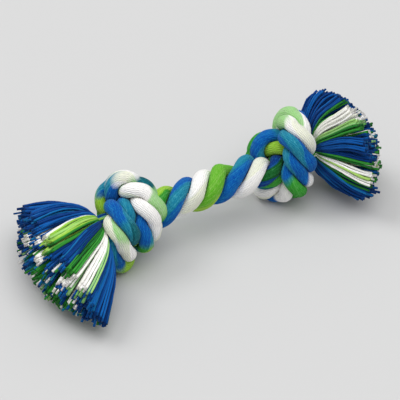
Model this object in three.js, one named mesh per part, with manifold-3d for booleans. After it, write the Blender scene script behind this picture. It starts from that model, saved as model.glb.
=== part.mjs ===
// A rope dog toy: one length of three-strand cotton rope with an overhand knot near each end,
// whose ends are combed out into fringes of loose yarn.
// Millimetres, +Z up, +X along the rope. The toy lies on its two knots, with the floor at z = 0.
import * as THREE from "three";
import { mergeVertices } from "three/addons/utils/BufferGeometryUtils.js";
import Module from "manifold-3d";

const wasm = await Module();
wasm.setup();

// Driving dimensions of the rope
const STRAND_DIAMETER = 9.4; // one strand in the open rope
const KNOTTED_STRAND_DIAMETER = 7.6; // the same strand where a knot squeezes it
const STRAND_GAP = 0.5; // kept between two turns of strand
const LAY_LENGTH = 39.2; // one turn of a strand round the open rope
const KNOT_SPACING = 116; // between the middles of the two knots
const KNOT_REACH = 14; // from the middle of a knot to the cut ends of its strands
const SQUEEZE_START = 32; // from the middle of the rope to where its strands begin to narrow
const SQUEEZE_LENGTH = 10; // over which they narrow

// Driving dimensions of the fringes
const FRINGE_LENGTH = { left: 50, right: 41 }; // from the slice to the middle of the cut face
const FRINGE_SINK = { left: 11, right: 4 }; // of the middle of the cut face below the rope
const FRINGE_LEAN = { left: -8, right: -9 }; // of the same, along Y
const FACE_WIDTH = { left: 112, right: 80 }; // of the cut face
const FACE_HEIGHT = { left: 50, right: 92 }; // of the same, where the floor doesn't press it flat
const SLICE_THICKNESS = 2; // of the bound end of the rope that the yarns stand on
const YARN_ROOT_DIAMETER = 0.8;
const YARN_DIAMETER = 1.5; // of a yarn that has sprung open
const FITTING_GAP = 0.3; // between pieces that meet

// Counts
const STRANDS = ["blue", "white", "green"];
const STRAND_SIDES = 8;
const YARN_SIDES = 3;
const YARNS_PER_FRINGE = 180;
const SLICE_SEGMENTS = 12; // round half of a bound end
const CURVE_POINTS = 20; // between two points of a knot's route
const LAY_RADIUS_STEPS = 1000; // in which the lay is opened until its strands just touch

// Angles, in degrees
const FULL_TURN = 360;
const LAY_START = 195; // of the blue strand round the rope at its middle
const KNOT_ROLL = { left: 250, right: 84 }; // of a knot round the rope
const KNOT_HAND = { left: -1, right: 1 }; // the left knot is tied as the right one's mirror image
const GOLDEN_ANGLE = 137.508; // from one yarn to the next on the slice

// Shares
const FLOOR_CUT_SHARE = 0.1; // of a knotted strand's diameter, pressed flat under each knot
// The stations along a yarn where its section is set, as shares of its length outside the slice
const YARN_STATION_SHARES = [0.4, 1];
// How far a yarn has sprung open at its root and at those stations
const YARN_OPENING_SHARES = [0, 0.7, 1];

// The rope's middle line through half of an overhand knot, from the middle of the knot out to its
// tail, as shares of the knotted rope's diameter. A half turn about the Z axis gives the other half.
const KNOT_ROUTE_SHARES = [
  [0, 0, 0.94],
  [-0.13, -0.61, 0.92],
  [-0.32, -1.08, 0.73],
  [-0.56, -1.35, 0.32],
  [-0.77, -1.34, -0.19],
  [-0.88, -1.05, -0.64],
  [-0.85, -0.57, -0.9],
  [-0.67, -0.05, -0.91],
  [-0.38, 0.35, -0.68],
  [0, 0.5, -0.31],
  [0.45, 0.4, -0.02],
  [0.8, 0.1, 0],
  [0.97, 0, 0],
];
const FLARE_POWER = 1.15; // how slowly the yarns begin to spread
const SINK_POWER = 1.4; // how slowly they begin to sink
const DOME_SHARES = { left: 0.45, right: 0.66 }; // of a fringe's length, that outer yarns are shorter by
const LOOSE_KNOT_SHARE = 1.1; // of the least rope diameter, that the route is first laid out at
const TAIL_SHARE = 1.35; // of the same, from the middle of a knot to where its tail is pulled from
const KNOTTED_LAY_SHARES = { left: 1.1733, right: 1.2242 }; // of the open rope's lay, inside a knot
const THREE_STRANDS_SHARE = 2.155; // of one strand's diameter, that three side by side take up
const TUBE_STEP_SHARE = 0.48; // of a knotted strand's diameter, between rings of its tube

// Tightening of the knots
const TIGHTENING_ROUNDS = 200;
const CONTACT_PASSES = 5;
const SETTLING_PASSES = 600; // after the last round, that only move strands apart
const PAIR_RENEWAL = 5; // rounds between two searches for strands that come near
const STRAIGHTENING_SHARE = 0.5; // of a point's distance from its neighbours' middle, per round
const PRESSING_SHARE = 0.008; // of a point's distance from the middle of its knot, per round
const POINT_STEP_SHARE = 0.35; // of a knotted strand's diameter, between points of its line
const OWN_STRETCH_SHARE = 1.7; // of that diameter, within which a strand can't touch itself
const NEAR_SHARE = 1.6; // of that diameter, within which two points are watched
const HELD_SHARE = 1.2; // of a strand's diameter, that stays as laid at the middle of the rope
const HELD_TAIL_SHARE = 1.2; // the same, at the cut end of the rope

const COLOURS = { blue: 0x1c5fae, white: 0xe9e6dc, green: 0x6fbf4a, mixed: 0x2a6fa8 };
const ROUGHNESS = 0.9;

const UP = new THREE.Vector3(0, 0, 1);
const radians = THREE.MathUtils.degToRad;
const vectorOf = (numbers) => new THREE.Vector3(...numbers);
const knottedRopeDiameter = THREE_STRANDS_SHARE * KNOTTED_STRAND_DIAMETER * LOOSE_KNOT_SHARE;
const pointStep = POINT_STEP_SHARE * KNOTTED_STRAND_DIAMETER;
const endX = KNOT_SPACING / 2 + KNOT_REACH;
const sliceDiameter = THREE_STRANDS_SHARE * KNOTTED_STRAND_DIAMETER + 2 * FITTING_GAP;
const rootReach = sliceDiameter / 2 - YARN_ROOT_DIAMETER / 2 - FITTING_GAP / 2;

// The radius of a strand at a distance along the rope from its middle.
function strandRadiusAt(x) {
  const squeezed = THREE.MathUtils.smoothstep(
    Math.abs(x),
    SQUEEZE_START,
    SQUEEZE_START + SQUEEZE_LENGTH,
  );
  return THREE.MathUtils.lerp(STRAND_DIAMETER, KNOTTED_STRAND_DIAMETER, squeezed) / 2;
}

// The points of a line again, at even steps along it.
function evenly(points, count) {
  const travelled = [0];
  for (let i = 1; i < points.length; i++)
    travelled.push(travelled[i - 1] + points[i].distanceTo(points[i - 1]));
  const total = travelled.at(-1);
  const even = [];
  let at = 0;
  for (let i = 0; i < count; i++) {
    const wanted = (total * i) / (count - 1);
    while (at < points.length - 2 && travelled[at + 1] < wanted) at++;
    const share = (wanted - travelled[at]) / (travelled[at + 1] - travelled[at]);
    even.push(points[at].clone().lerp(points[at + 1], share));
  }
  return even;
}

function lengthOf(points) {
  let total = 0;
  for (let i = 1; i < points.length; i++) total += points[i].distanceTo(points[i - 1]);
  return total;
}

// Directions along a line, with a side direction that never turns about the line by itself.
function framesOf(points, firstSide) {
  const frames = [];
  let side = firstSide.clone();
  for (let i = 0; i < points.length; i++) {
    const before = points[Math.max(i - 1, 0)];
    const after = points[Math.min(i + 1, points.length - 1)];
    const along = after.clone().sub(before).normalize();
    side = side.clone().addScaledVector(along, -side.dot(along)).normalize();
    frames.push({ along, side, across: along.clone().cross(side) });
  }
  return frames;
}

// The rope's middle line from the middle of the rope through one knot, loosely tied.
function looseRoute(end) {
  const sign = end === "left" ? -1 : 1;
  const half = KNOT_ROUTE_SHARES.map((p) => vectorOf(p).multiplyScalar(knottedRopeDiameter));
  const otherHalf = half.slice(1).map((p) => new THREE.Vector3(-p.x, -p.y, p.z));
  const knot = [...otherHalf.reverse(), ...half];
  for (const p of knot) {
    p.y *= KNOT_HAND[end];
    p.applyAxisAngle(new THREE.Vector3(1, 0, 0), radians(KNOT_ROLL[end]));
    p.x += (sign * KNOT_SPACING) / 2;
  }
  if (sign < 0) knot.reverse();
  const tail = KNOT_SPACING / 2 + knottedRopeDiameter * TAIL_SHARE;
  const points = [new THREE.Vector3(), ...knot, new THREE.Vector3(sign * tail, 0, 0)];
  const curve = new THREE.CatmullRomCurve3(points, false, "centripetal");
  const fine = curve.getPoints(points.length * CURVE_POINTS);
  return evenly(fine, Math.round(lengthOf(fine) / pointStep));
}

// How far a strand's line runs from the rope's middle line, where the three just touch.
function layRadius() {
  const wanted = STRAND_DIAMETER + STRAND_GAP;
  const strandTurn = FULL_TURN / STRANDS.length;
  const apart = (radius) => {
    let least = Infinity;
    for (let degree = 0; degree < strandTurn; degree++) {
      const chord = 2 * radius * Math.sin(radians(strandTurn - degree) / 2);
      least = Math.min(least, Math.hypot(chord, (LAY_LENGTH * degree) / FULL_TURN));
    }
    return least;
  };
  let radius = wanted / 2;
  while (apart(radius) < wanted) radius += wanted / LAY_RADIUS_STEPS;
  return radius;
}

// The three strands laid left-handed round the middle line.
function laidStrands(route, end) {
  const sign = end === "left" ? -1 : 1;
  const frames = framesOf(route, UP);
  const openRadius = layRadius();
  return STRANDS.map((_, index) => {
    let angle = sign * radians(LAY_START + (FULL_TURN / STRANDS.length) * index);
    return route.map((p, i) => {
      const squeezed = strandRadiusAt(p.x) / strandRadiusAt(0);
      const lay = LAY_LENGTH * (squeezed < 1 ? KNOTTED_LAY_SHARES[end] : 1);
      if (i) {
        const step = route[i].distanceTo(route[i - 1]);
        angle -= (radians(FULL_TURN) * step) / lay;
      }
      const { side, across } = frames[i];
      const radius = openRadius * squeezed;
      return p
        .clone()
        .addScaledVector(side, radius * Math.cos(angle))
        .addScaledVector(across, radius * Math.sin(angle));
    });
  });
}

// Pairs of points, of two strands or of two turns of one, that lie near enough to touch soon.
function nearPairs(lines) {
  const near = NEAR_SHARE * KNOTTED_STRAND_DIAMETER;
  const own = (OWN_STRETCH_SHARE * KNOTTED_STRAND_DIAMETER) / pointStep;
  const pairs = [];
  for (let i = 0; i < lines.length; i++)
    for (let j = i + 1; j < lines.length; j++) {
      const [a, b] = [lines[i], lines[j]];
      if (a.strand === b.strand && b.place - a.place < own) continue;
      if (a.point.distanceTo(b.point) < near) pairs.push([i, j]);
    }
  return pairs;
}

// One pass that moves touching strands apart, each by half of what they are too near by.
function pushApart(lines, pairs) {
  const moves = lines.map(() => ({ sum: new THREE.Vector3(), count: 0 }));
  const between = new THREE.Vector3();
  for (const [i, j] of pairs) {
    const [a, b] = [lines[i], lines[j]];
    between.subVectors(a.point, b.point);
    const wanted = strandRadiusAt(a.point.x) + strandRadiusAt(b.point.x) + STRAND_GAP;
    const over = wanted - between.length();
    if (over <= 0) continue;
    between.setLength(over / 2);
    moves[i].sum.add(between);
    moves[j].sum.sub(between);
    moves[i].count++;
    moves[j].count++;
  }
  lines.forEach((line, i) => {
    if (!line.held) line.point.addScaledVector(moves[i].sum, 1 / Math.max(1, moves[i].count / 2));
  });
}

// The strands drawn tight: each line shortens itself while it keeps its width from the others.
function tightened(strands) {
  const held = Math.ceil((HELD_SHARE * STRAND_DIAMETER) / pointStep);
  const heldTail = Math.ceil((HELD_TAIL_SHARE * STRAND_DIAMETER) / pointStep);
  const numbered = () =>
    strands.flatMap((line, strand) =>
      line.map((point, place) => ({
        point,
        strand,
        place,
        held: place < held || place >= line.length - heldTail,
      })),
    );
  let pairs;
  for (let round = 0; round < TIGHTENING_ROUNDS; round++) {
    strands = strands.map((line) => {
      const drawn = line.map((p, i) => {
        if (i < held || i >= line.length - heldTail) return p;
        const middle = line[i - 1].clone().lerp(line[i + 1], 1 / 2);
        const drawn = p.clone().lerp(middle, STRAIGHTENING_SHARE);
        const outside = Math.hypot(p.y, p.z) > sliceDiameter / 2;
        const middleX = (Math.sign(p.x) * KNOT_SPACING) / 2;
        if (outside) drawn.lerp(new THREE.Vector3(middleX, 0, 0), PRESSING_SHARE);
        return drawn;
      });
      const free = drawn.slice(held - 1, 1 - heldTail);
      const [start, tail] = [drawn.slice(0, held - 1), drawn.slice(1 - heldTail)];
      return [...start, ...evenly(free, free.length), ...tail];
    });
    const lines = numbered();
    if (round % PAIR_RENEWAL === 0) pairs = nearPairs(lines);
    for (let pass = 0; pass < CONTACT_PASSES; pass++) pushApart(lines, pairs);
  }
  const lines = numbered();
  pairs = nearPairs(lines);
  for (let pass = 0; pass < SETTLING_PASSES; pass++) pushApart(lines, pairs);
  return strands;
}

// Each strand's line from the left end of the rope to the right, with the toy lying on its knots,
// and the height of the rope's middle line at both cut ends.
function strandLines() {
  const halves = ["left", "right"].map((end) => tightened(laidStrands(looseRoute(end), end)));
  const lines = STRANDS.map((_, i) => [...halves[0][i].slice(1).reverse(), ...halves[1][i]]);
  const lowest = (sign) => {
    const side = lines.flat().filter((p) => p.x * sign > 0);
    return side.reduce((low, p) => (p.z < low.z ? p : low));
  };
  const [left, right] = [lowest(-1), lowest(1)];
  const slope = (right.z - left.z) / (right.x - left.x);
  const radius = KNOTTED_STRAND_DIAMETER / 2;
  const rest = radius - FLOOR_CUT_SHARE * KNOTTED_STRAND_DIAMETER;
  const levelled = ({ x, y, z }) =>
    new THREE.Vector3(x, y, z - (left.z + slope * (x - left.x)) + rest);
  const endHeight = {
    left: levelled(new THREE.Vector3(-endX, 0, 0)).z,
    right: levelled(new THREE.Vector3(endX, 0, 0)).z,
  };
  return { lines: lines.map((line) => line.map(levelled)), endHeight };
}

// The least gap between two strands, or two turns of one, measured between points of their lines.
function leastGap(strands) {
  const own = (OWN_STRETCH_SHARE * KNOTTED_STRAND_DIAMETER) / pointStep;
  let least = Infinity;
  strands.forEach((line, i) => {
    for (const [place, p] of line.entries())
      for (const [other, otherLine] of strands.entries())
        otherLine.forEach((q, otherPlace) => {
          if (other === i && Math.abs(otherPlace - place) < own) return;
          const gap = p.distanceTo(q) - strandRadiusAt(p.x) - strandRadiusAt(q.x);
          least = Math.min(least, gap);
        });
  });
  return least;
}

// A closed tube through rings of points.
function loft(rings) {
  const sides = rings[0].length;
  const positions = rings.flat().flatMap((p) => p.toArray());
  const faces = [];
  for (let i = 1; i < rings.length; i++)
    for (let j = 0; j < sides; j++) {
      const [a, b] = [(i - 1) * sides + j, (i - 1) * sides + ((j + 1) % sides)];
      faces.push(a, b, b + sides, a, b + sides, a + sides);
    }
  const last = (rings.length - 1) * sides;
  for (let j = 1; j < sides - 1; j++) {
    faces.push(0, j + 1, j);
    faces.push(last, last + j, last + j + 1);
  }
  const geometry = new THREE.BufferGeometry();
  geometry.setAttribute("position", new THREE.Float32BufferAttribute(positions, 3));
  geometry.setIndex(faces);
  return geometry;
}

// A ring of points round a place on a line.
function ringAt(centre, { side, across }, radius, sides) {
  return Array.from({ length: sides }, (_, j) => {
    const angle = radians((FULL_TURN * j) / sides);
    return centre
      .clone()
      .addScaledVector(side, radius * Math.cos(angle))
      .addScaledVector(across, radius * Math.sin(angle));
  });
}

function solidOf(geometry) {
  const bare = geometry.clone();
  bare.deleteAttribute("normal");
  bare.deleteAttribute("uv");
  const merged = mergeVertices(bare);
  return new wasm.Manifold(
    new wasm.Mesh({
      numProp: 3,
      vertProperties: merged.attributes.position.array,
      triVerts: new Uint32Array(merged.index.array),
    }),
  );
}

function geometryOf(solid) {
  const { vertProperties, triVerts } = solid.getMesh();
  const geometry = new THREE.BufferGeometry();
  geometry.setAttribute("position", new THREE.BufferAttribute(vertProperties, 3));
  geometry.setIndex(new THREE.BufferAttribute(triVerts, 1));
  geometry.computeVertexNormals();
  return geometry;
}

function boxBetween(low, high) {
  const size = high.clone().sub(low);
  const box = new THREE.BoxGeometry(size.x, size.y, size.z);
  return box.translate(...low.clone().add(high).divideScalar(2));
}

function meshOf(name, solid, colour) {
  const material = new THREE.MeshStandardMaterial({
    color: COLOURS[colour],
    roughness: ROUGHNESS,
    metalness: 0,
  });
  const mesh = new THREE.Mesh(geometryOf(solid), material);
  mesh.name = name;
  return mesh;
}

// A line without what lies past the cut ends of the rope.
function cutSquare(line) {
  const inside = line.findIndex((p) => p.x > -endX);
  const outside = line.findLastIndex((p) => p.x < endX) + 1;
  const crossing = (i, x) => {
    const [a, b] = [line[i - 1], line[i]];
    return a.clone().lerp(b, (x - a.x) / (b.x - a.x));
  };
  return [crossing(inside, -endX), ...line.slice(inside, outside), crossing(outside, endX)];
}

// A strand's tube, cut square at both ends of the rope and flat where a knot presses the floor.
function strandSolid(line, room) {
  const cut = cutSquare(line);
  const step = TUBE_STEP_SHARE * KNOTTED_STRAND_DIAMETER;
  const points = evenly(cut, Math.round(lengthOf(cut) / step));
  const frames = framesOf(points, UP);
  for (const i of [0, frames.length - 1]) {
    const along = new THREE.Vector3(1, 0, 0);
    const side = frames[i].side.clone().setX(0).normalize();
    frames[i] = { along, side, across: along.clone().cross(side) };
  }
  const rings = points.map((p, i) => ringAt(p, frames[i], strandRadiusAt(p.x), STRAND_SIDES));
  return solidOf(loft(rings)).subtract(room);
}

// Where a yarn is at a share of its way from the slice to the cut face: it spreads out and bends
// aside, and sinks by its own weight until the floor holds the lowest ones up.
function yarnPlace([across, up], share, end, height) {
  const sign = end === "left" ? -1 : 1;
  const sunk = share ** SINK_POWER;
  const belowYarn = (YARN_DIAMETER / 2) * Math.cos(Math.PI / YARN_SIDES);
  const room = height - FRINGE_SINK[end] - belowYarn;
  const rise = up < 0 ? room : FACE_HEIGHT[end] / 2;
  const outward = (across * across + up * up) / (rootReach * rootReach);
  const length = FRINGE_LENGTH[end] * share * (1 - DOME_SHARES[end] * outward * share);
  const opened = Math.max(share, 0) ** FLARE_POWER;
  return new THREE.Vector3(
    sign * (endX + FITTING_GAP + SLICE_THICKNESS + length),
    across * THREE.MathUtils.lerp(1, FACE_WIDTH[end] / 2 / rootReach, opened) +
      FRINGE_LEAN[end] * sunk,
    height + up * THREE.MathUtils.lerp(1, rise / rootReach, opened) - FRINGE_SINK[end] * sunk,
  );
}

function yarnSolid(root, end, height) {
  const points = YARN_STATION_SHARES.map((share) => yarnPlace(root, share, end, height));
  points.unshift(points[0].clone());
  points[0].set(Math.sign(points[0].x) * (endX + FITTING_GAP + SLICE_THICKNESS / 2), ...root);
  points[0].z += height;
  const frames = framesOf(points, UP);
  const rings = points.map((p, i) => {
    const opening = YARN_OPENING_SHARES[i];
    const diameter = THREE.MathUtils.lerp(YARN_ROOT_DIAMETER, YARN_DIAMETER, opening);
    return ringAt(p, frames[i], diameter / 2, YARN_SIDES);
  });
  return solidOf(loft(rings));
}

// The roots of one fringe's yarns on its slice, in the turned order of a flower's seeds.
function yarnRoots() {
  return Array.from({ length: YARNS_PER_FRINGE }, (_, i) => {
    const radius = rootReach * Math.sqrt((i + 1 / 2) / YARNS_PER_FRINGE);
    const angle = radians(GOLDEN_ANGLE * i);
    return [radius * Math.cos(angle), radius * Math.sin(angle)];
  });
}

// Half of the rope's bound end, above or below a middle split.
function halfSlice(end, upper, height) {
  const shape = new THREE.Shape();
  const radius = sliceDiameter / 2;
  const from = upper ? 0 : Math.PI;
  shape.absarc(0, 0, radius, from, from + Math.PI, false);
  shape.closePath();
  const slice = new THREE.ExtrudeGeometry(shape, {
    depth: SLICE_THICKNESS,
    bevelEnabled: false,
    curveSegments: SLICE_SEGMENTS,
  });
  slice.rotateX(Math.PI / 2).rotateZ(Math.PI / 2);
  slice.translate(
    end === "left" ? -endX - FITTING_GAP - SLICE_THICKNESS : endX + FITTING_GAP,
    0,
    height + ((upper ? 1 : -1) * FITTING_GAP) / 2,
  );
  return solidOf(slice);
}

function fringeSolid(end, upper, height) {
  const margin = (FITTING_GAP + YARN_ROOT_DIAMETER) / 2;
  const roots = yarnRoots().filter(([, up]) => (upper ? up : -up) > margin);
  let solid = halfSlice(end, upper, height);
  for (const root of roots) solid = solid.add(yarnSolid(root, end, height));
  return { solid, yarns: roots.length };
}

const toy = new THREE.Group();
const { lines, endHeight } = strandLines();

// What the strands are cut to: the floor, and the room of the bound ends.
const wide = KNOT_SPACING;
let room = solidOf(
  boxBetween(new THREE.Vector3(-wide, -wide, -wide), new THREE.Vector3(wide, wide, 0)),
);
for (const end of ["left", "right"]) {
  const radius = sliceDiameter / 2 + 2 * FITTING_GAP;
  const bound = new THREE.CylinderGeometry(radius, radius, sliceDiameter, 2 * SLICE_SEGMENTS);
  bound.rotateZ(Math.PI / 2);
  const middleX = endX + sliceDiameter / 2;
  bound.translate(end === "left" ? -middleX : middleX, 0, endHeight[end]);
  room = room.add(solidOf(bound));
}
STRANDS.forEach((colour, i) => {
  toy.add(meshOf("strand_" + colour, strandSolid(lines[i], room), colour));
});

let yarns = 0;
for (const end of ["left", "right"])
  for (const half of ["upper", "lower"]) {
    const fringe = fringeSolid(end, half === "upper", endHeight[end]);
    yarns += fringe.yarns;
    toy.add(meshOf("fringe_" + end + "_" + half, fringe.solid, "mixed"));
  }

// The origin at the middle of the toy's footprint
const middle = new THREE.Box3().setFromObject(toy).getCenter(new THREE.Vector3());
toy.position.set(-middle.x, -middle.y, 0);

console.log(yarns + " yarns in the two fringes");
console.log("least gap between strands " + leastGap(lines.map(cutSquare)).toFixed(2));
console.log("the rope's ends are at heights " + Object.values(endHeight).map((z) => z.toFixed(2)));

export default toy;
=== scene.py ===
"""The looks of a rope dog toy: three strands of twisted cotton yarn, tied in two overhand knots,
with both ends combed out into fringes. Lengths are in millimetres until a mesh is made."""

import math

import bpy
import numpy as np
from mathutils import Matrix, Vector


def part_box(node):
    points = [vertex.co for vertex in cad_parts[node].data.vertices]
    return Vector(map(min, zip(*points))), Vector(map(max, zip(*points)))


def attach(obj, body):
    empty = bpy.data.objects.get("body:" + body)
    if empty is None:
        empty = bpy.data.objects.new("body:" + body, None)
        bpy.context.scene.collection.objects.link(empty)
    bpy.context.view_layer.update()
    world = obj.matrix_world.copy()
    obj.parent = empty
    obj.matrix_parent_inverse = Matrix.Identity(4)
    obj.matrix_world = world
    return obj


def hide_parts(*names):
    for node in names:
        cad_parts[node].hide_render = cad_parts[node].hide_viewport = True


MM = 0.001

# The rope, as in the part's source
STRANDS = 3
STRAND_DIAMETER = 9.4
KNOTTED_STRAND_DIAMETER = 7.6
STRAND_GAP = 0.5
LAY_LENGTH = 39.2
LAY_START = 195.0
KNOT_SPACING = 116.0
KNOT_REACH = 14.0
KNOT_ROLL = {"left": 250.0, "right": 84.0}
KNOT_HAND = {"left": -1, "right": 1}
SQUEEZE_START = 32.0
SQUEEZE_LENGTH = 10.0
FITTING_GAP = 0.3
SLICE_THICKNESS = 2.0
FLOOR_CUT_SHARE = 0.1
KNOT_ROUTE_SHARES = [
    (0, 0, 0.94),
    (-0.13, -0.61, 0.92),
    (-0.32, -1.08, 0.73),
    (-0.56, -1.35, 0.32),
    (-0.77, -1.34, -0.19),
    (-0.88, -1.05, -0.64),
    (-0.85, -0.57, -0.9),
    (-0.67, -0.05, -0.91),
    (-0.38, 0.35, -0.68),
    (0, 0.5, -0.31),
    (0.45, 0.4, -0.02),
    (0.8, 0.1, 0),
    (0.97, 0, 0),
]
KNOTTED_LAY_SHARES = {"left": 1.1733, "right": 1.2242}
LOOSE_KNOT_SHARE = 1.1
TAIL_SHARE = 1.35
THREE_STRANDS_SHARE = 2.155
CURVE_POINTS = 20
LAY_RADIUS_STEPS = 1000

# The fringes, as in the part's source
FRINGE_LENGTH = {"left": 50.0, "right": 41.0}
FRINGE_SINK = {"left": 11.0, "right": 4.0}
FRINGE_LEAN = {"left": -8.0, "right": -9.0}
FACE_WIDTH = {"left": 112.0, "right": 80.0}
FACE_HEIGHT = {"left": 50.0, "right": 92.0}
DOME_SHARES = {"left": 0.45, "right": 0.66}
SINK_POWER = 1.4
GOLDEN_ANGLE = 137.508

# Tightening of the knots, as in the part's source
TIGHTENING_ROUNDS = 200
CONTACT_PASSES = 5
SETTLING_PASSES = 600
PAIR_RENEWAL = 5
STRAIGHTENING_SHARE = 0.5
PRESSING_SHARE = 0.008
POINT_STEP_SHARE = 0.35
OWN_STRETCH_SHARE = 1.7
NEAR_SHARE = 1.6
HELD_SHARE = 1.2
HELD_TAIL_SHARE = 1.2

# What follows from these
STRAND_TURN = 360 // STRANDS
END_X = KNOT_SPACING / 2 + KNOT_REACH
POINT_STEP = POINT_STEP_SHARE * KNOTTED_STRAND_DIAMETER
LOOSE_DIAMETER = THREE_STRANDS_SHARE * KNOTTED_STRAND_DIAMETER * LOOSE_KNOT_SHARE
SLICE_DIAMETER = THREE_STRANDS_SHARE * KNOTTED_STRAND_DIAMETER + 2 * FITTING_GAP
UP = np.array([0.0, 0.0, 1.0])


def srgb(red, green, blue):
    """A colour seen on a screen, from 0 to 255, as the linear colour that a shader takes, by
    the usual curve of screens."""
    channels = [c / 255 for c in (red, green, blue)]
    return tuple(c / 12.92 if c < 0.04045 else ((c + 0.055) / 1.055) ** 2.4 for c in channels)


def strand_radius(x):
    """How thick a strand is, from the open rope to the knots and the ends."""
    share = np.clip((np.abs(x) - SQUEEZE_START) / SQUEEZE_LENGTH, 0, 1)
    share = share * share * (3 - 2 * share)
    return (STRAND_DIAMETER + (KNOTTED_STRAND_DIAMETER - STRAND_DIAMETER) * share) / 2


def travelled(points):
    """How far each point of a line lies along it."""
    steps = np.linalg.norm(np.diff(points, axis=0), axis=1)
    return np.concatenate([[0.0], np.cumsum(steps)])


def evenly(points, count):
    """The points of a line again, at even steps along it."""
    at = travelled(points)
    wanted = at[-1] * np.arange(count) / (count - 1)
    return np.stack([np.interp(wanted, at, points[:, k]) for k in range(3)], 1)


def smooth_curve(points, steps):
    """A centripetal Catmull-Rom curve through points."""
    padded = np.concatenate([[2 * points[0] - points[1]], points, [2 * points[-1] - points[-2]]])
    spans = len(points) - 1
    result = []
    for step in range(steps + 1):
        place = spans * step / steps
        span = min(int(place), spans - 1)
        t = place - span
        p0, p1, p2, p3 = padded[span : span + 4]
        d0, d1, d2 = (np.linalg.norm(b - a) ** 0.5 for a, b in ((p0, p1), (p1, p2), (p2, p3)))
        t1 = ((p1 - p0) / d0 - (p2 - p0) / (d0 + d1) + (p2 - p1) / d1) * d1
        t2 = ((p2 - p1) / d1 - (p3 - p1) / (d1 + d2) + (p3 - p2) / d2) * d1
        cubic = 2 * p1 - 2 * p2 + t1 + t2
        square = -3 * p1 + 3 * p2 - 2 * t1 - t2
        result.append(p1 + t * (t1 + t * (square + t * cubic)))
    return np.array(result)


def unit(vector):
    return vector / np.linalg.norm(vector)


def frames_of(points, first_side):
    """Directions along a line, with a side that never turns about the line by itself."""
    before = np.concatenate([points[:1], points[:-1]])
    after = np.concatenate([points[1:], points[-1:]])
    along = after - before
    along /= np.linalg.norm(along, axis=1)[:, None]
    side = np.array(first_side, float)
    sides = []
    for direction in along:
        side = unit(side - direction * side.dot(direction))
        sides.append(side)
    sides = np.array(sides)
    return sides, np.cross(along, sides)


def loose_route(end):
    """The rope's middle line from the middle of the rope through one knot, loosely tied."""
    sign = -1 if end == "left" else 1
    half = np.array(KNOT_ROUTE_SHARES) * LOOSE_DIAMETER
    other_half = half[1:] * (-1, -1, 1)
    knot = np.concatenate([other_half[::-1], half])
    knot[:, 1] *= KNOT_HAND[end]
    roll = math.radians(KNOT_ROLL[end])
    y, z = knot[:, 1].copy(), knot[:, 2].copy()
    knot[:, 1] = y * math.cos(roll) - z * math.sin(roll)
    knot[:, 2] = y * math.sin(roll) + z * math.cos(roll)
    knot[:, 0] += sign * KNOT_SPACING / 2
    if sign < 0:
        knot = knot[::-1]
    tail = KNOT_SPACING / 2 + LOOSE_DIAMETER * TAIL_SHARE
    points = np.concatenate([[(0, 0, 0)], knot, [(sign * tail, 0, 0)]])
    fine = smooth_curve(points, len(points) * CURVE_POINTS)
    return evenly(fine, int(math.floor(travelled(fine)[-1] / POINT_STEP + 0.5)))


def lay_radius():
    """How far a strand's line runs from the rope's middle line, where the three just touch."""
    wanted = STRAND_DIAMETER + STRAND_GAP
    degrees = np.arange(STRAND_TURN)

    def apart(radius):
        chord = 2 * radius * np.sin(np.radians(STRAND_TURN - degrees) / 2)
        return np.hypot(chord, LAY_LENGTH * degrees / 360).min()

    radius = wanted / 2
    while apart(radius) < wanted:
        radius += wanted / LAY_RADIUS_STEPS
    return radius


def laid_strands(route, end):
    """The three strands laid left-handed round the middle line."""
    sign = -1 if end == "left" else 1
    sides, across = frames_of(route, UP)
    squeezed = strand_radius(route[:, 0]) / strand_radius(0)
    lay = LAY_LENGTH * np.where(squeezed < 1, KNOTTED_LAY_SHARES[end], 1)
    steps = np.diff(travelled(route), prepend=0)
    turned = np.cumsum(2 * math.pi * steps / lay)
    radius = (lay_radius() * squeezed)[:, None]
    strands = []
    for index in range(STRANDS):
        angle = (sign * math.radians(LAY_START + STRAND_TURN * index) - turned)[:, None]
        strands.append(route + radius * (sides * np.cos(angle) + across * np.sin(angle)))
    return np.array(strands)


def near_pairs(points, strand, place):
    """Pairs of points, of two strands or of two turns of one, that may soon touch."""
    apart = np.linalg.norm(points[:, None] - points[None], axis=2)
    own = OWN_STRETCH_SHARE * KNOTTED_STRAND_DIAMETER / POINT_STEP
    same = (strand[:, None] == strand[None]) & (np.abs(place[:, None] - place[None]) < own)
    near = (apart < NEAR_SHARE * KNOTTED_STRAND_DIAMETER) & ~same
    return np.nonzero(np.triu(near, 1))


def push_apart(points, pairs, held):
    """One pass that moves touching strands apart, each by half of what they are too near by."""
    first, second = pairs
    between = points[first] - points[second]
    apart = np.linalg.norm(between, axis=1)
    radius = strand_radius(points[:, 0])
    over = radius[first] + radius[second] + STRAND_GAP - apart
    touching = over > 0
    first, second = first[touching], second[touching]
    move = between[touching] * (over[touching] / apart[touching] / 2)[:, None]
    total = np.zeros_like(points)
    np.add.at(total, first, move)
    np.add.at(total, second, -move)
    count = np.bincount(first, minlength=len(points)) + np.bincount(second, minlength=len(points))
    total /= np.maximum(1, count / 2)[:, None]
    total[held] = 0
    return points + total


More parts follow.
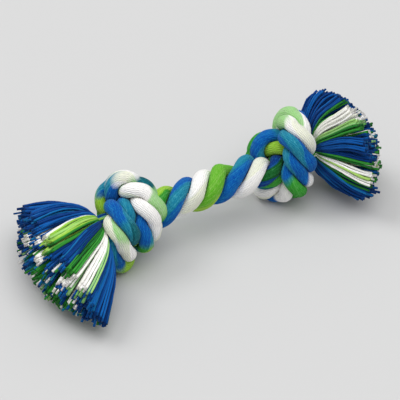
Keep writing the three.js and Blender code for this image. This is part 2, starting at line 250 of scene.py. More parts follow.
def tightened(strands):
    """The strands drawn tight: each shortens itself while it keeps its width from the others."""
    length = strands.shape[1]
    held = math.ceil(HELD_SHARE * STRAND_DIAMETER / POINT_STEP)
    tail = length - math.ceil(HELD_TAIL_SHARE * STRAND_DIAMETER / POINT_STEP)
    strand, place = (grid.ravel() for grid in np.mgrid[0:STRANDS, 0:length])
    fixed = (place < held) | (place >= tail)
    for turn in range(TIGHTENING_ROUNDS):
        free = strands[:, held:tail]
        middle = (strands[:, held - 1 : tail - 1] + strands[:, held + 1 : tail + 1]) / 2
        drawn = free + (middle - free) * STRAIGHTENING_SHARE
        outside = np.hypot(free[:, :, 1], free[:, :, 2]) > SLICE_DIAMETER / 2
        knot = np.zeros_like(free)
        knot[:, :, 0] = np.sign(free[:, :, 0]) * KNOT_SPACING / 2
        drawn += (knot - drawn) * PRESSING_SHARE * outside[:, :, None]
        strands = strands.copy()
        strands[:, held:tail] = drawn
        for line in strands:
            line[held - 1 : tail + 1] = evenly(line[held - 1 : tail + 1], tail - held + 2)
        points = strands.reshape(-1, 3)
        if turn % PAIR_RENEWAL == 0:
            pairs = near_pairs(points, strand, place)
        for _ in range(CONTACT_PASSES):
            points = push_apart(points, pairs, fixed)
        strands = points.reshape(strands.shape)
    pairs = near_pairs(points, strand, place)
    for _ in range(SETTLING_PASSES):
        points = push_apart(points, pairs, fixed)
    return points.reshape(strands.shape)


def strand_lines():
    """Each strand's line from the left tail to the right one, with the toy lying on its knots."""
    left, right = (tightened(laid_strands(loose_route(end), end)) for end in ("left", "right"))
    lines = np.concatenate([left[:, :0:-1], right], axis=1)
    flat = lines.reshape(-1, 3)
    lowest = [side[side[:, 2].argmin()] for side in (flat[flat[:, 0] < 0], flat[flat[:, 0] > 0])]
    (left_x, _, left_z), (right_x, _, right_z) = lowest
    slope = (right_z - left_z) / (right_x - left_x)
    rest = KNOTTED_STRAND_DIAMETER * (1 / 2 - FLOOR_CUT_SHARE)
    lift = rest - left_z - slope * (np.array([-END_X, END_X]) - left_x)
    lines[:, :, 2] += rest - left_z - slope * (lines[:, :, 0] - left_x)
    return lines, dict(zip(("left", "right"), lift))


# What shows of the strands
RING_STEP = 0.78
CURVE_STEPS_PER_POINT = 6
YARNS_PER_STRAND = 22
SAMPLES_PER_YARN = 5
YARN_TURN_LENGTH = 60.0
RIDGE_DEPTH = 0.2
YARN_BULGE = 0.1
LEAST_BULGE_LENGTH = 14.0
MOST_BULGE_LENGTH = 34.0
OPEN_FULLNESS = 5.1
KNOTTED_FULLNESS = 4.75
OUTER_FLATTENING = 0.1
TOUCHING_MARGIN = 0.04
NEIGHBOUR_REACH = 14.0
NEIGHBOUR_POWER = 4
BEND_ROOM_SHARE = 0.85
PRESSING_POWER = 14
LEAST_FACING = 0.05
BLUR_PASSES_ROUND = 6
BLUR_PASSES_ALONG = 4
TAIL_REACH = 2.0
TAIL_TAPER = 5.0
TAIL_END_SHARE = 0.3

# What shows of the fringes
YARNS_PER_FRINGE = 1100
LOCKS_PER_FRINGE = 64
LOCKS_OUTWARD_POWER = 0.5
YARN_STATIONS = 16
YARN_SIDES = 8
YARN_ROOT_DIAMETER = 0.7
YARN_DIAMETER = 1.45
YARN_GROWTH_POWER = 0.6
LEAST_YARN_SHARE = 0.85
MOST_YARN_SHARE = 1.12
YARN_DEPTH_SHARE = 0.22
YARNS_OUTWARD_POWER = 0.42
LOCK_PULL = 0.32
LOCK_PULL_POWER = 0.8
LOCK_WAVE = 1.1
YARN_WAVE = 0.5
STRAY_YARN_SHARE = 0.05
STRAY_WAVE = 4.0
STRAY_LENGTH_SHARE = 0.05
LEAST_WAVES = 0.5
MOST_WAVES = 1.2
PLIES_PER_YARN = 2
PLY_DEPTH_SHARE = 0.16
PLY_TURN_LENGTH = 5.0
LENGTH_UNEVENNESS = 0.035
ROOT_MARGIN = 0.55
ROOT_REACH = SLICE_DIAMETER / 2 - ROOT_MARGIN
SPREAD_START = 0.06
SPREAD_POWER = 0.68
FOLD_POWER = 0.5
DOME_TILT = {"left": 0.3, "right": 0.0}
FLOOR_CLEARANCE = 0.02
RANDOM_SEED = 7


def ring_frames(line):
    """Directions round a line at every ring, turning with the yarns of the strand."""
    sides, across = frames_of(line, UP)
    count = YARNS_PER_STRAND * SAMPLES_PER_YARN
    turn = 2 * math.pi * travelled(line) / YARN_TURN_LENGTH
    angle = turn[:, None] + 2 * math.pi * np.arange(count) / count
    return sides[:, None] * np.cos(angle)[..., None] + across[:, None] * np.sin(angle)[..., None]


def softened(values, axis, passes):
    """Values softened along a strand, which is axis 0, or all the way round it, axis 1."""
    for _ in range(passes):
        if axis == 1:
            values = (np.roll(values, 1, 1) + 2 * values + np.roll(values, -1, 1)) / 4
        else:
            ends = np.concatenate([values[:1], values, values[-1:]])
            values = (ends[:-2] + 2 * values + ends[2:]) / 4
    return values


def surface_radius(lines, directions, index):
    """How far one strand's surface stands from its line, in each direction round it. It fills
    the room up to its neighbours and the floor, and is round where nothing presses on it."""
    centres = np.concatenate(lines)
    owner = np.repeat(np.arange(len(lines)), [len(line) for line in lines])
    place = np.concatenate([travelled(line) for line in lines])
    line, around = lines[index], directions[index]
    own_place = travelled(line)
    bend = np.gradient(np.gradient(line, own_place, axis=0), own_place, axis=0)
    own_stretch = OWN_STRETCH_SHARE * KNOTTED_STRAND_DIAMETER
    squeeze = (STRAND_DIAMETER / 2 - strand_radius(line[:, 0])) * 2
    squeeze /= STRAND_DIAMETER - KNOTTED_STRAND_DIAMETER
    fullness = OPEN_FULLNESS + (KNOTTED_FULLNESS - OPEN_FULLNESS) * squeeze
    walls = np.empty(around.shape[:2])
    free = np.empty(around.shape[:2])
    for i, centre in enumerate(line):
        offset = centres - centre
        apart = np.linalg.norm(offset, axis=1)
        same_stretch = (owner == index) & (np.abs(place - own_place[i]) < own_stretch)
        near = (apart < NEIGHBOUR_REACH) & ~same_stretch
        offset, apart = offset[near], apart[near]
        facing = around[i] @ (offset / apart[:, None]).T
        limit = (apart / 2 - TOUCHING_MARGIN) / np.maximum(facing, LEAST_FACING)
        floor = centre[2] / np.maximum(-around[i][:, 2], LEAST_FACING)
        bent = BEND_ROOM_SHARE / np.maximum(around[i] @ bend[i], LEAST_FACING / own_stretch)
        walls[i] = np.minimum(np.minimum(limit.min(1), floor), bent)
        outward = unit(-(offset / apart[:, None] ** NEIGHBOUR_POWER).sum(0))
        open_side = np.clip(around[i] @ outward, 0, 1)
        free[i] = fullness[i] * (1 - OUTER_FLATTENING * open_side**2)
    radius = (free**-PRESSING_POWER + walls**-PRESSING_POWER) ** (-1 / PRESSING_POWER)
    radius = softened(softened(radius, 1, BLUR_PASSES_ROUND), 0, BLUR_PASSES_ALONG)
    return np.minimum(radius, walls)


def ridged(radius, line, chance):
    """The same with a low ridge for every yarn, each standing a little differently."""
    count = radius.shape[1]
    share = np.arange(count) / SAMPLES_PER_YARN
    ridge = 1 - np.abs(np.sin(math.pi * share))
    yarn = share.astype(int)
    at = travelled(line)[:, None]
    wave_length = chance.uniform(LEAST_BULGE_LENGTH, MOST_BULGE_LENGTH, YARNS_PER_STRAND)[yarn]
    wave_start = chance.uniform(0, 1, YARNS_PER_STRAND)[yarn]
    bulge = np.sin(2 * math.pi * (at / wave_length + wave_start)) - 1
    radius = radius - RIDGE_DEPTH * ridge + YARN_BULGE / 2 * bulge * (1 - ridge)
    tail = np.minimum(at, at[-1] - at)
    rounded = np.sqrt(np.clip(tail / TAIL_TAPER, 0, 1))
    return radius * (TAIL_END_SHARE + (1 - TAIL_END_SHARE) * rounded)


def tube_mesh(name, rings, strand_u, strand_v, start_closed):
    """One mesh of tubes with closed far ends. rings is tubes x rings x samples x 3, in
    millimetres. strand_u and strand_v are the places kept in the map named strand."""
    tubes, stations, samples, _ = rings.shape
    tube = np.arange(tubes)[:, None, None]
    i = np.arange(stations - 1)[None, :, None]
    k = np.arange(samples)[None, None, :]
    after = (k + 1) % samples

    def corner(station, sample):
        return (tube * stations + station) * samples + sample

    quads = np.stack([corner(i, k), corner(i, after), corner(i + 1, after), corner(i + 1, k)], -1)
    u = np.stack([strand_u[..., :-1], strand_u[..., 1:], strand_u[..., 1:], strand_u[..., :-1]], -1)
    u = np.broadcast_to(u, quads.shape)
    low, high = strand_v[:, :-1, None], strand_v[:, 1:, None]
    v = np.stack(np.broadcast_arrays(low, low, high, high), -1)
    v = np.broadcast_to(v, quads.shape)
    points = rings.reshape(-1, 3)
    faces = [quads.reshape(-1)]
    sizes = [np.full(quads.size // 4, 4)]
    map_u, map_v = [u.reshape(-1)], [v.reshape(-1)]
    for station, turned in ((0, -1), (stations - 1, 1)):
        if station == 0 and not start_closed:
            continue
        middle = rings[:, station].mean(1)
        start = len(points) + np.arange(tubes)[:, None]
        points = np.concatenate([points, middle])
        flat_k = np.arange(samples)[None]
        first = (tube[:, 0] * stations + station) * samples + flat_k
        second = (tube[:, 0] * stations + station) * samples + (flat_k + 1) % samples
        order = (first, second) if turned > 0 else (second, first)
        triangles = np.stack([*order, np.broadcast_to(start, first.shape)], -1)
        faces.append(triangles.reshape(-1))
        sizes.append(np.full(triangles.size // 3, 3))
        edge_u = np.broadcast_to(strand_u[:, 0, :-1], first.shape)
        map_u.append(np.repeat(edge_u.reshape(-1), 3))
        map_v.append(np.repeat(np.broadcast_to(strand_v[:, station, None], first.shape), 3))
    corners = np.concatenate(faces).astype(np.int32)
    sizes = np.concatenate(sizes)
    mesh = bpy.data.meshes.new(name)
    mesh.vertices.add(len(points))
    mesh.vertices.foreach_set("co", (points * MM).astype(np.float32).ravel())
    mesh.loops.add(len(corners))
    mesh.loops.foreach_set("vertex_index", corners)
    mesh.polygons.add(len(sizes))
    starts = np.concatenate([[0], np.cumsum(sizes)[:-1]]).astype(np.int32)
    mesh.polygons.foreach_set("loop_start", starts)
    mesh.polygons.foreach_set("use_smooth", np.ones(len(sizes), bool))
    layer = mesh.uv_layers.new(name="strand")
    places = np.stack([np.concatenate(map_u), np.concatenate(map_v)], 1)
    layer.data.foreach_set("uv", places.astype(np.float32).ravel())
    mesh.update(calc_edges=True)
    mesh.validate()
    return mesh


def add_piece(name, mesh, material, nodes):
    """A piece of the toy that stands for some of the part's nodes."""
    piece = bpy.data.objects.new(name, mesh)
    bpy.context.scene.collection.objects.link(piece)
    mesh.materials.append(material)
    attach(piece, "root")
    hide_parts(*nodes)


def visible_strands(lines):
    """Each strand's line from one tail to the other, in even steps, one for every ring."""
    fine = []
    for line in lines:
        curve = smooth_curve(line, CURVE_STEPS_PER_POINT * len(line))
        inside = np.abs(curve[:, 0]) < END_X + TAIL_REACH
        first = inside.argmax()
        last = len(inside) - inside[::-1].argmax()
        curve = curve[first:last]
        fine.append(evenly(curve, int(travelled(curve)[-1] / RING_STEP)))
    return fine


def yarn_place(across, up, share, end, height):
    """A point of a fringe's yarn, with its cut end as in the part's source. share is 0 at the
    bound end of the rope and 1 at the cut face. Outer yarns first follow the side of the knot."""
    sign = -1 if end == "left" else 1
    combed = np.clip(share, 0, None)
    sunk = combed**SINK_POWER
    room = height - FRINGE_SINK[end] - YARN_DIAMETER / 2
    rise = np.where(up < 0, room, FACE_HEIGHT[end] / 2)
    outward = (across**2 + up**2) / ROOT_REACH**2
    folded = np.where(share < SPREAD_START, share, combed ** (1 + FOLD_POWER * outward))
    domed = DOME_SHARES[end] * (outward - DOME_TILT[end] * up / ROOT_REACH) * (combed > 0)
    length = FRINGE_LENGTH[end] * folded * (1 - domed)
    opened = np.clip((share - SPREAD_START) / (1 - SPREAD_START), 0, None) ** SPREAD_POWER
    x = sign * (END_X + FITTING_GAP + SLICE_THICKNESS + length)
    y = across * (1 + (FACE_WIDTH[end] / 2 / ROOT_REACH - 1) * opened)
    y = y + FRINGE_LEAN[end] * sunk
    z = height + up * (1 + (rise / ROOT_REACH - 1) * opened) - FRINGE_SINK[end] * sunk
    return np.stack(np.broadcast_arrays(x, y, z), -1)


def seeds(count, power):
    """Points in a circle of radius 1, in the turned order of a flower's seeds."""
    place = np.arange(count)
    radius = ((place + 0.5) / count) ** power
    angle = np.radians(GOLDEN_ANGLE * place)
    return np.stack([radius * np.cos(angle), radius * np.sin(angle)], 1)


def fringe_yarns(end, height, chance):
    """The rings of every yarn of a fringe, its root on the rope's end, its places along it and
    the number of its lock."""
    roots = seeds(YARNS_PER_FRINGE, YARNS_OUTWARD_POWER)
    locks = seeds(LOCKS_PER_FRINGE, LOCKS_OUTWARD_POWER)
    lock = np.linalg.norm(roots[:, None] - locks[None], axis=2).argmin(1)
    stray = chance.uniform(0, 1, YARNS_PER_FRINGE) < STRAY_YARN_SHARE
    longer = 1 + chance.uniform(-LENGTH_UNEVENNESS, LENGTH_UNEVENNESS, YARNS_PER_FRINGE)
    longer += STRAY_LENGTH_SHARE * stray
    share = np.linspace(-YARN_DEPTH_SHARE, 1, YARN_STATIONS)[None] * longer[:, None]
    opened = np.clip(share, 0, None)[..., None]
    pull = LOCK_PULL * opened**LOCK_PULL_POWER
    pulled = roots[:, None] + (locks[lock] - roots)[:, None] * pull
    centre = yarn_place(
        pulled[..., 0] * ROOT_REACH, pulled[..., 1] * ROOT_REACH, share, end, height
    )
    yarn_wave = YARN_WAVE * (1 + (STRAY_WAVE - 1) * stray)[:, None]
    for size, of_yarn in ((LOCK_WAVE, lock), (yarn_wave, np.arange(YARNS_PER_FRINGE))):
        count = of_yarn.max() + 1
        for axis in (1, 2):
            rate = chance.uniform(LEAST_WAVES, MOST_WAVES, count)[of_yarn][:, None]
            start = chance.uniform(0, 1, count)[of_yarn][:, None]
            wave = np.sin(2 * math.pi * (rate * share + start)) * opened[..., 0]
            centre[..., axis] += size * wave
    grown = opened**YARN_GROWTH_POWER
    thick = YARN_ROOT_DIAMETER + (YARN_DIAMETER - YARN_ROOT_DIAMETER) * grown
    thicker = chance.uniform(LEAST_YARN_SHARE, MOST_YARN_SHARE, YARNS_PER_FRINGE)
    radius = thick / 2 * thicker[:, None, None]
    centre[..., 2] = np.maximum(centre[..., 2], radius[..., 0])
    along = np.gradient(centre, axis=1)
    along /= np.linalg.norm(along, axis=2)[..., None]
    side = np.cross(along, UP)
    side /= np.linalg.norm(side, axis=2)[..., None]
    across = np.cross(along, side)
    angle = 2 * math.pi * np.arange(YARN_SIDES) / YARN_SIDES
    length = FRINGE_LENGTH[end] * share[..., None]
    start = chance.uniform(0, 1, YARNS_PER_FRINGE)[:, None, None]
    turned = angle - 2 * math.pi * (length / PLY_TURN_LENGTH + start)
    around = radius * (1 + PLY_DEPTH_SHARE * np.cos(PLIES_PER_YARN * turned))
    rings = centre[:, :, None] + around[..., None] * (
        side[:, :, None] * np.cos(angle)[:, None] + across[:, :, None] * np.sin(angle)[:, None]
    )
    return rings, roots, share, lock


# The cotton's surface
COTTON_ROUGHNESS = 0.9
COTTON_GLOSS = 0.08
COTTON_FUZZ = 0.06
BUMP_STRENGTH = 0.5
SPECKS = 900.0
SPECK_DETAIL = 3.0
BLOTCH_DETAIL = 2.0
NOISE_MIDDLE = 0.5
# Where a mixing node takes its two colours, and gives the mixed one
MIX_INPUTS = (6, 7)
MIX_OUTPUT = 2

# Colours of the cotton, as seen on a screen
COTTON = {
    "navy": (4, 44, 98),
    "deep_blue": (6, 64, 136),
    "blue": (14, 100, 178),
    "teal": (34, 134, 164),
    "dark_teal": (16, 100, 112),
    "dark_green": (24, 98, 42),
    "green": (62, 158, 56),
    "grass": (112, 186, 58),
    "lime": (156, 206, 68),
    "light_green": (166, 216, 146),
    "cream": (238, 240, 222),
    "white": (254, 252, 250),
}

# Each strand's colour up to a distance from its left tail, in millimetres
STRAND_DYE = {
    "blue": [
        (38, "blue"),
        (49, "green"),
        (72, "blue"),
        (91, "light_green"),
        (101, "dark_teal"),
        (110, "white"),
        (190, "blue"),
        (208, "lime"),
        (236, "blue"),
        (252, "teal"),
        (420, "blue"),
        (440, "dark_teal"),
        (566, "blue"),
        (590, "white"),
        (654, "blue"),
        (690, "teal"),
    ],
    "white": [
        (104, "white"),
        (113, "blue"),
        (132, "lime"),
        (214, "white"),
        (238, "cream"),
        (446, "white"),
        (486, "light_green"),
        (495, "white"),
        (524, "blue"),
        (600, "white"),
        (630, "lime"),
        (690, "white"),
    ],
    "green": [
        (47, "green"),
        (64, "light_green"),
        (84, "white"),
        (160, "green"),
        (180, "dark_green"),
        (209, "teal"),
        (232, "blue"),
        (296, "green"),
        (358, "grass"),
        (394, "deep_blue"),
        (462, "green"),
        (475, "light_green"),
        (500, "white"),
        (512, "green"),
        (522, "blue"),
        (690, "green"),
    ],
}

# What a strip of yarns along each strand is dyed beside a colour
STRIP_DYE = {
    "deep_blue": "dark_green",
    "blue": "teal",
    "teal": "dark_teal",
    "dark_teal": "green",
    "dark_green": "green",
    "green": "lime",
    "grass": "lime",
    "lime": "light_green",
    "light_green": "white",
    "cream": "light_green",
    "white": "cream",
}

# How the dye and the fibres lie on a strand, with painted shade in the grooves between its yarns
# and between their plies
DYE_LENGTH = 700.0
DYE_BLUR = 1.3
DYE_SLANT = 3.0
DYE_UNEVENNESS = 5.0
DYE_BLOTCHES = 90.0
STRIP_EDGE = 0.5
STRIP_UNEVENNESS = 0.9
STRIP_BLOTCHES = 60.0
STRIP_SHARPNESS = 5.0
FIBRE_CONTRAST = 0.34
SPECK_CONTRAST = 0.2
YARN_CONTRAST = 0.12
# Painted shade: how much darker a strand is in the grooves between its yarns
PAINTED_GROOVE_SHADE = 0.24
DYE_DEPTH_BY_FIBRE = 1.1
DYE_DEPTH_BY_YARN = 0.3
DYE_DEPTH_BY_SPECK = 0.8
FIBRES_PER_YARN = 5.0
FIBRE_RATE = 0.7
FIBRE_DETAIL = 4.0
PLY_TURNS = 0.45
PLY_HEIGHT = 0.55
# Painted shade: how much darker a yarn is between the plies of its twist
PAINTED_PLY_SHADE = 0.05
SPECK_HEIGHT = 0.5
STRAND_BUMP = 0.45

# How the dye lies on the fringes, with painted shade at the yarns' cut ends
FRINGE_BLOTCHES = 160.0
FRINGE_CONTRAST = 0.3
TIP_START = 0.985
# Painted shade: how much darker a yarn is inside its cut end
PAINTED_TIP_SHADE = 0.45
FRINGE_BUMP = 0.25
INNER_DEPTH_SHARE = 0.72
STRAY_TONE_SHARE = 0.35
SECTOR_UNEVENNESS = 2.5

# Colours of the fringes' yarns, as places on their ramp
YARN_TONES = {
    "blue": (0.02, 0.27),
    "teal": (0.24, 0.32),
    "green": (0.38, 0.5),
    "light": (0.54, 0.68),
    "lime": (0.68, 0.76),
    "white": (0.86, 1.0),
}
YARN_RAMP = [
    (0.0, "navy"),
    (0.12, "deep_blue"),
    (0.24, "blue"),
    (0.3, "teal"),
    (0.38, "dark_green"),
    (0.5, "green"),
    (0.64, "light_green"),
    (0.74, "lime"),
    (0.84, "cream"),
    (0.92, "white"),
]

# Sectors of the two fringes, from the back over the top and the front to the floor, in degrees
FRINGE_SECTORS = {
    "left": [
        (79, "blue"),
        (83, "white"),
        (94, "lime"),
        (99, "green"),
        (116, "blue"),
        (127, "green"),
        (139, "white"),
        (144, "light"),
        (196, "blue"),
        (225, "green"),
        (250, "blue"),
        (270, "white"),
        (300, "green"),
        (345, "blue"),
        (360, "green"),
    ],
    "right": [
        (94, "blue"),
        (99, "green"),
        (115, "white"),
        (122, "light"),
        (129, "green"),
        (156, "blue"),
        (161, "green"),
        (167, "white"),
        (170, "lime"),
        (177, "white"),
        (187, "green"),
        (262, "blue"),
        (275, "green"),
        (290, "white"),
        (360, "blue"),
    ],
}

# Colours of the locks further in, in turn
INNER_TONES = [
    "blue",
    "green",
    "white",
    "teal",
    "light",
    "blue",
    "green",
    "blue",
    "white",
    "green",
    "blue",
]


def yarn_tones(end, roots, lock, chance):
    """Each yarn's place on the ramp: by sector outside, and lock by lock further in, where
    some yarns stand apart from their lock."""
    angle = np.degrees(np.arctan2(roots[:, 1], roots[:, 0])) % 360
    angle += chance.uniform(-SECTOR_UNEVENNESS, SECTOR_UNEVENNESS, len(roots))
    apart = chance.uniform(0, 1, len(roots)) < STRAY_TONE_SHARE
    depth = np.hypot(*roots.T)
    tones = []
    for i, turn in enumerate(angle % 360):
        name = next(name for until, name in FRINGE_SECTORS[end] if turn <= until)
        if depth[i] < INNER_DEPTH_SHARE:
            name = INNER_TONES[(lock[i] + apart[i] * i) % len(INNER_TONES)]
        low, high = YARN_TONES[name]
        tones.append(chance.uniform(low, high))
    return np.array(tones)


def math_node(tree, operation, first, second=None):
    """One calculation with numbers or other nodes' values."""
    made = tree.nodes.new("ShaderNodeMath")
    made.operation = operation
    for place, value in enumerate((first, second)):
        if value is None:
            continue
        if isinstance(value, (int, float)):
            made.inputs[place].default_value = value
        else:
            tree.links.new(value, made.inputs[place])
    return made.outputs[0]


def ramp_node(tree, stops, place):
    """The colour at a place from 0 to 1."""
    made = tree.nodes.new("ShaderNodeValToRGB")
    elements = made.color_ramp.elements
    while len(elements) > 1:
        elements.remove(elements[-1])
    for i, (position, colour) in enumerate(stops):
        element = elements[0] if i == 0 else elements.new(position)
        element.position = position
        element.color = (*srgb(*COTTON[colour]), 1)
    tree.links.new(place, made.inputs[0])
    return made.outputs[0]


def scaled(tree, colour, amount):
    """A colour made lighter or darker."""
    made = tree.nodes.new("ShaderNodeVectorMath")
    made.operation = "SCALE"
    tree.links.new(colour, made.inputs[0])
    tree.links.new(amount, made.inputs["Scale"])
    return made.outputs[0]


def mixed(tree, amount, first, second):
    """One colour that turns into another."""
    made = tree.nodes.new("ShaderNodeMix")
    made.data_type = "RGBA"
    tree.links.new(amount, made.inputs[0])
    for place, colour in zip(MIX_INPUTS, (first, second)):
        tree.links.new(colour, made.inputs[place])
    return made.outputs[MIX_OUTPUT]


def dyed_deeper(tree, colour, depths):
    """A dye taken up more or less deeply, which leaves white as it is."""
    made = tree.nodes.new("ShaderNodeGamma")
    depth = 1.0
    for more in depths:
        depth = math_node(tree, "ADD", more, depth)
    tree.links.new(colour, made.inputs[0])
    tree.links.new(depth, made.inputs[1])
    return made.outputs[0]


def centred(tree, value, width):
    """A noise from 0 to 1 as one round 0, of a width."""
    return math_node(tree, "MULTIPLY", math_node(tree, "SUBTRACT", value, NOISE_MIDDLE), width)


def noise(tree, place, scale, detail):
    """A value from 0 to 1 that changes from place to place."""
    made = tree.nodes.new("ShaderNodeTexNoise")
    made.inputs["Scale"].default_value = scale
    made.inputs["Detail"].default_value = detail
    tree.links.new(place, made.inputs["Vector"])
    return made.outputs[0]


def cotton(name):
    """A material of soft cotton: its tree, its shader, and the places that its colour needs.
    The map named strand gives the place round a strand, and along it in millimetres."""
    material = bpy.data.materials.new(name)
    material.use_nodes = True
    tree = material.node_tree
    shader = tree.nodes["Principled BSDF"]
    shader.inputs["Roughness"].default_value = COTTON_ROUGHNESS
    shader.inputs["Specular IOR Level"].default_value = COTTON_GLOSS
    shader.inputs["Sheen Weight"].default_value = COTTON_FUZZ
    strand_map = tree.nodes.new("ShaderNodeUVMap")
    strand_map.uv_map = "strand"
    split = tree.nodes.new("ShaderNodeSeparateXYZ")
    tree.links.new(strand_map.outputs[0], split.inputs[0])
    place = tree.nodes.new("ShaderNodeTexCoord").outputs["Object"]
    return material, shader, split.outputs[0], split.outputs[1], place


def bumped(tree, shader, height, depth):
    """A relief of the surface, as deep as so many millimetres."""
    bump = tree.nodes.new("ShaderNodeBump")
    bump.inputs["Strength"].default_value = BUMP_STRENGTH
    bump.inputs["Distance"].default_value = depth * MM
    tree.links.new(height, bump.inputs["Height"])
    tree.links.new(bump.outputs[0], shader.inputs["Normal"])


def streaks(tree, around, along):
    """Fibres that run along a strand."""
    stretched = tree.nodes.new("ShaderNodeCombineXYZ")
    rates = (YARNS_PER_STRAND * FIBRES_PER_YARN, FIBRE_RATE)
    for axis, (value, rate) in enumerate(zip((around, along), rates)):
        tree.links.new(math_node(tree, "MULTIPLY", value, rate), stretched.inputs[axis])
    return noise(tree, stretched.outputs[0], 1.0, FIBRE_DETAIL)


def strand_cotton(name, dye):
    """Yarns laid side by side along a strand, dyed in lengths that run into each other, with
    painted shade in the grooves between the yarns and between their plies.
    """
    material, shader, around, along, place = cotton(name)
    tree = material.node_tree
    turn = math_node(tree, "MULTIPLY", around, 2 * math.pi)
    wave = math_node(tree, "SINE", turn)
    slanted = math_node(tree, "ADD", along, math_node(tree, "MULTIPLY", wave, DYE_SLANT))
    blotches = noise(tree, place, DYE_BLOTCHES, BLOTCH_DETAIL)
    uneven = centred(tree, blotches, DYE_UNEVENNESS)
    dyed = math_node(tree, "MULTIPLY", math_node(tree, "ADD", slanted, uneven), 1 / DYE_LENGTH)

    stops, strip_stops = [], []
    start = 0.0
    for until, colour in dye:
        for at in (start + DYE_BLUR, until - DYE_BLUR):
            stops.append((at / DYE_LENGTH, colour))
            strip_stops.append((at / DYE_LENGTH, STRIP_DYE[colour]))
        start = until
    strip = math_node(tree, "SUBTRACT", math_node(tree, "COSINE", turn), STRIP_EDGE)
    blotches = noise(tree, place, STRIP_BLOTCHES, BLOTCH_DETAIL)
    strip = math_node(tree, "ADD", strip, centred(tree, blotches, STRIP_UNEVENNESS))
    strip = math_node(tree, "MULTIPLY", strip, STRIP_SHARPNESS)
    strip.node.use_clamp = True
    colour = mixed(
        tree, strip, ramp_node(tree, stops, dyed), ramp_node(tree, strip_stops, dyed)
    )

    yarn = math_node(tree, "MULTIPLY", around, float(YARNS_PER_STRAND))
    own = tree.nodes.new("ShaderNodeTexWhiteNoise")
    own.noise_dimensions = "1D"
    tree.links.new(math_node(tree, "FLOOR", yarn), own.inputs["W"])
    fibre = streaks(tree, around, along)
    speck = noise(tree, place, SPECKS, SPECK_DETAIL)
    fibre_shade = centred(tree, fibre, FIBRE_CONTRAST)
    shade = math_node(tree, "ADD", fibre_shade, centred(tree, speck, SPECK_CONTRAST))
    shade = math_node(tree, "ADD", shade, centred(tree, own.outputs[0], YARN_CONTRAST))
    twist = math_node(tree, "ADD", yarn, math_node(tree, "MULTIPLY", along, PLY_TURNS))
    ply = math_node(tree, "SINE", math_node(tree, "MULTIPLY", twist, 2 * math.pi))
    # Painted shade: darker between the plies, lighter on them, following the twist
    shade = math_node(tree, "ADD", shade, math_node(tree, "MULTIPLY", ply, PAINTED_PLY_SHADE))
    # Painted shade: the colour is darker in the grooves between the yarns, lightest on each yarn's
    # crest
    ridge = math_node(tree, "SINE", math_node(tree, "MULTIPLY", yarn, math.pi))
    ridge = math_node(tree, "MULTIPLY", math_node(tree, "ABSOLUTE", ridge), PAINTED_GROOVE_SHADE)
    level = math_node(tree, "ADD", math_node(tree, "ADD", shade, ridge), 1 - PAINTED_GROOVE_SHADE)
    depths = (
        centred(tree, fibre, DYE_DEPTH_BY_FIBRE),
        centred(tree, own.outputs[0], DYE_DEPTH_BY_YARN),
        centred(tree, speck, DYE_DEPTH_BY_SPECK),
    )
    colour = dyed_deeper(tree, colour, depths)
    tree.links.new(scaled(tree, colour, level), shader.inputs["Base Color"])

    height = math_node(tree, "ADD", math_node(tree, "MULTIPLY", ply, PLY_HEIGHT), fibre)
    height = math_node(tree, "ADD", height, math_node(tree, "MULTIPLY", speck, SPECK_HEIGHT))
    bumped(tree, shader, height, STRAND_BUMP)
    return material


def yarn_cotton(name):
    """Loose yarns, each of one colour, darker inside its cut end by painted shade."""
    material, shader, tone, along, place = cotton(name)
    tree = material.node_tree
    colour = ramp_node(tree, YARN_RAMP, tone)
    speck = noise(tree, place, SPECKS, SPECK_DETAIL)
    blotch = noise(tree, place, FRINGE_BLOTCHES, BLOTCH_DETAIL)
    speck_shade = centred(tree, speck, FRINGE_CONTRAST)
    shade = math_node(tree, "ADD", speck_shade, centred(tree, blotch, FRINGE_CONTRAST))
    # Painted shade: the colour is darker at each yarn's cut end, past TIP_START along it
    inside = math_node(tree, "GREATER_THAN", along, TIP_START)
    tip = math_node(tree, "MULTIPLY", inside, -PAINTED_TIP_SHADE)
    level = math_node(tree, "ADD", math_node(tree, "ADD", shade, tip), 1.0)
    tree.links.new(scaled(tree, colour, level), shader.inputs["Base Color"])
    bumped(tree, shader, speck, FRINGE_BUMP)
    return material


def plain(name, colour, roughness):
    """A paint of one even colour, for the floor."""
    material = bpy.data.materials.new(name)
    material.use_nodes = True
    shader = material.node_tree.nodes["Principled BSDF"]
    shader.inputs["Base Color"].default_value = (*srgb(*colour), 1)
    shader.inputs["Roughness"].default_value = roughness
    return material


def soft_light(name, towards, strength, width):
    """Even light from one side of the studio, as wide as so many degrees of it."""
    light = bpy.data.lights.new(name, "SUN")
    light.energy = strength
    light.angle = math.radians(width)
    holder = bpy.data.objects.new(name, light)
    holder.rotation_euler = Vector(towards).to_track_quat("Z", "Y").to_euler()
    bpy.context.scene.collection.objects.link(holder)


# The camera, with lengths in metres
CAMERA_ELEVATION = math.radians(41.5)
CAMERA_TURN = math.radians(29)
CAMERA_DISTANCE = 1.1
CAMERA_TARGET = Vector((-0.0009, 0.0071, 0.0219))
CAMERA_SPAN = 0.2484
CAMERA_CLIP_START = 0.05
SENSOR = 36.0

# The floor and the studio, with lengths in metres
FLOOR_REACH = 3.0
FLOOR_COLOUR = (201, 201, 201)
FLOOR_ROUGHNESS = 0.9
STUDIO_COLOUR = (1, 1, 1, 1)
STUDIO_STRENGTH = 0.5
# Each light's name, the way to it, its strength and its width in degrees
LIGHTS = [
    ("key", (-0.45, 0.5, 1), 0.98, 30),
    ("top", (0.1, -0.25, 1), 1.55, 60),
]

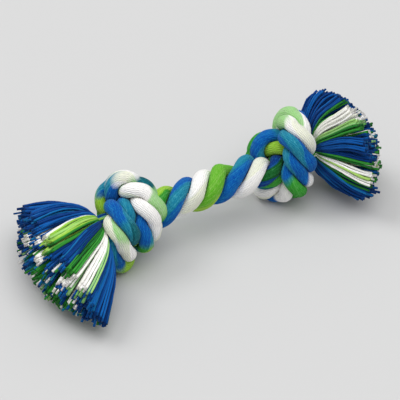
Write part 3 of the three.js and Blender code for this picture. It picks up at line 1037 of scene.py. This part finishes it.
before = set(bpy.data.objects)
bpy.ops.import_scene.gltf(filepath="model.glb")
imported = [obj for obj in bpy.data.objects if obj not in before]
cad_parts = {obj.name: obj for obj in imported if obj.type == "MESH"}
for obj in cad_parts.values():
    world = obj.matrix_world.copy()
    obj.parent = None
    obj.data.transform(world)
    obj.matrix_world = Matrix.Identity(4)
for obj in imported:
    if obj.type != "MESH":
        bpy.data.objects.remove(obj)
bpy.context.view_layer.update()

camera_data = bpy.data.cameras.new("camera")
camera_data.sensor_width = SENSOR
camera_data.lens = SENSOR * CAMERA_DISTANCE / CAMERA_SPAN
camera_data.clip_start = CAMERA_CLIP_START
camera = bpy.data.objects.new("camera", camera_data)
back = Vector(
    (
        -math.sin(CAMERA_TURN) * math.cos(CAMERA_ELEVATION),
        -math.cos(CAMERA_TURN) * math.cos(CAMERA_ELEVATION),
        math.sin(CAMERA_ELEVATION),
    )
)
camera.location = CAMERA_TARGET + back * CAMERA_DISTANCE
camera.rotation_euler = back.to_track_quat("Z", "Y").to_euler()
bpy.context.scene.collection.objects.link(camera)
bpy.context.scene.camera = camera

# The strands and the fringes
lines, end_heights = strand_lines()
fine_lines = visible_strands(lines)
names = ["blue", "white", "green"]
directions = [ring_frames(line) for line in fine_lines]

# The part stands with its box centred, so the lines move as far as its solids did
left_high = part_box("fringe_left_upper")[1]
right_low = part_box("fringe_right_upper")[0]
shift_x = (left_high.x + right_low.x) / 2 / MM
strand_boxes = [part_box("strand_" + name) for name in names]
node_low = min(low.y for low, high in strand_boxes) / MM
node_high = max(high.y for low, high in strand_boxes) / MM
reach = KNOTTED_STRAND_DIAMETER / 2
own_low = min(line[:, 1].min() for line in fine_lines) - reach
own_high = max(line[:, 1].max() for line in fine_lines) + reach
shift = np.array([shift_x, (node_low + node_high - own_low - own_high) / 2, 0])

chance = np.random.default_rng(RANDOM_SEED)
samples = YARNS_PER_STRAND * SAMPLES_PER_YARN
for index, name in enumerate(names):
    line = fine_lines[index]
    radius = ridged(surface_radius(fine_lines, directions, index), line, chance)
    rings = line[:, None] + directions[index] * radius[..., None] + shift
    rings[..., 2] = np.maximum(rings[..., 2], FLOOR_CLEARANCE)
    around = np.linspace(0, 1, samples + 1)[None, None]
    along = travelled(line)[None]
    mesh = tube_mesh("cotton_strand_" + name, rings[None], around, along, True)
    material = strand_cotton(name + "_cotton", STRAND_DYE[name])
    add_piece("cotton_strand_" + name, mesh, material, ["strand_" + name])

yarn_material = yarn_cotton("mixed_yarn")
for end in ("left", "right"):
    rings, roots, share, lock = fringe_yarns(end, end_heights[end], chance)
    rings[..., 2] = np.maximum(rings[..., 2], FLOOR_CLEARANCE)
    tones = yarn_tones(end, roots, lock, chance)
    for half, chosen in (("upper", roots[:, 1] >= 0), ("lower", roots[:, 1] < 0)):
        around = np.repeat(tones[chosen][:, None, None], YARN_SIDES + 1, 2)
        name = f"cotton_fringe_{end}_{half}"
        mesh = tube_mesh(name, rings[chosen] + shift, around, share[chosen], False)
        add_piece(name, mesh, yarn_material, [f"fringe_{end}_{half}"])

# The floor and the studio
floor_mesh = bpy.data.meshes.new("floor")
floor_mesh.from_pydata(
    [(x * FLOOR_REACH, y * FLOOR_REACH, 0) for x, y in ((-1, -1), (1, -1), (1, 1), (-1, 1))],
    [],
    [(0, 1, 2, 3)],
)
floor = bpy.data.objects.new("floor", floor_mesh)
floor_mesh.materials.append(plain("floor_paint", FLOOR_COLOUR, FLOOR_ROUGHNESS))
bpy.context.scene.collection.objects.link(floor)

world = bpy.data.worlds.new("studio")
world.use_nodes = True
background = world.node_tree.nodes["Background"]
background.inputs["Color"].default_value = STUDIO_COLOUR
background.inputs["Strength"].default_value = STUDIO_STRENGTH
bpy.context.scene.world = world
bpy.context.scene.view_settings.view_transform = "Standard"

for light in LIGHTS:
    soft_light(*light)
